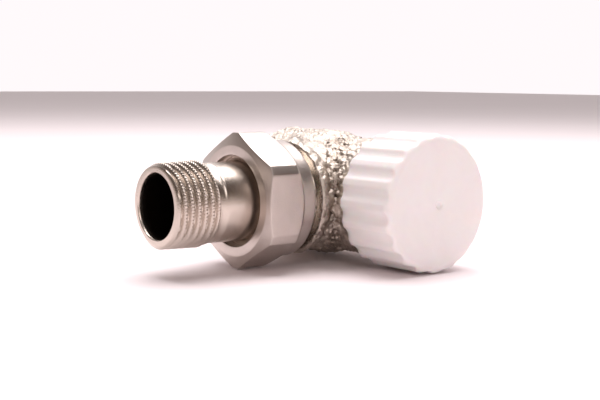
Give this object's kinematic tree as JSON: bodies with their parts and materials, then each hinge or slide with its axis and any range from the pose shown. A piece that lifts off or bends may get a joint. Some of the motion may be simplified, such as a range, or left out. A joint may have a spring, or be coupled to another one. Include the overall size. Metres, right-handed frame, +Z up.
{
  "type": "angle radiator valve body with union tail and protective cap",
  "caption": "DN15 angle radiator valve body: cast body, female pipe inlet, union nut with male tail, spring-opened insert and a white scalloped screw cap that shuts the disc.",
  "frame": {"origin": "centre of the inlet face, where the pipe screws in", "axes": "+X along the outlet, towards the end of the union tail; +Y along the inlet and stem axis, towards the cap; +Z up, as the valve lies on its side in the picture"},
  "size_m": [0.075, 0.0605, 0.034],
  "materials": {
    "nickel_casting": "rough sand casting, nickel plated",
    "nickel_turned": "satin, turned and nickel plated",
    "white_plastic": "satin moulded plastic",
    "bare_brass": "turned",
    "black_rubber": "matte",
    "bright_steel": "ground",
    "pale_plastic": "matte"
  },
  "bodies": {
    "housing": {"valve_body": "nickel_casting", "insert_housing": "bare_brass", "insert_o_ring": "black_rubber", "guide_bush": "pale_plastic", "gland_nut": "bare_brass", "gland_o_ring": "black_rubber", "pin_washer": "bare_brass", "pin_o_ring": "black_rubber", "pin_back_ring": "pale_plastic", "return_spring": "bright_steel"},
    "stem": {"pressure_pin": "bright_steel", "spindle": "bright_steel", "spindle_clip": "bright_steel", "spring_cup": "bright_steel", "disc_holder": "bare_brass", "seat_disc": "black_rubber", "disc_washer": "bright_steel", "disc_nut": "bare_brass"},
    "cap": {"protective_cap": "white_plastic"},
    "tail": {"tailpiece": "nickel_turned"},
    "nut": {"union_nut": "nickel_turned"}
  },
  "joints": [
    {"name": "stem_lift", "type": "slide", "parent": "housing", "child": "stem", "axis": [0, 1, 0], "range_m": [0, 0.0035], "deforming": ["return_spring"]},
    {"name": "cap_turn", "type": "hinge", "parent": "stem", "child": "cap", "pos_m": [0, 0.026, 0], "axis": [0, 1, 0], "range_deg": [0, 840]},
    {"name": "tail_slide", "type": "slide", "parent": "housing", "child": "tail", "axis": [1, 0, 0], "range_m": [0, 0.00726]},
    {"name": "nut_turn", "type": "hinge", "parent": "tail", "child": "nut", "pos_m": [0.03, 0.026, 0], "axis": [1, 0, 0], "range_deg": [0, 1440]}
  ],
  "couplings": [
    {"joint": "stem_lift", "follows": "cap_turn", "m_per_rad": 0.00023873},
    {"joint": "tail_slide", "follows": "nut_turn", "m_per_rad": 0.00028871}
  ]
}
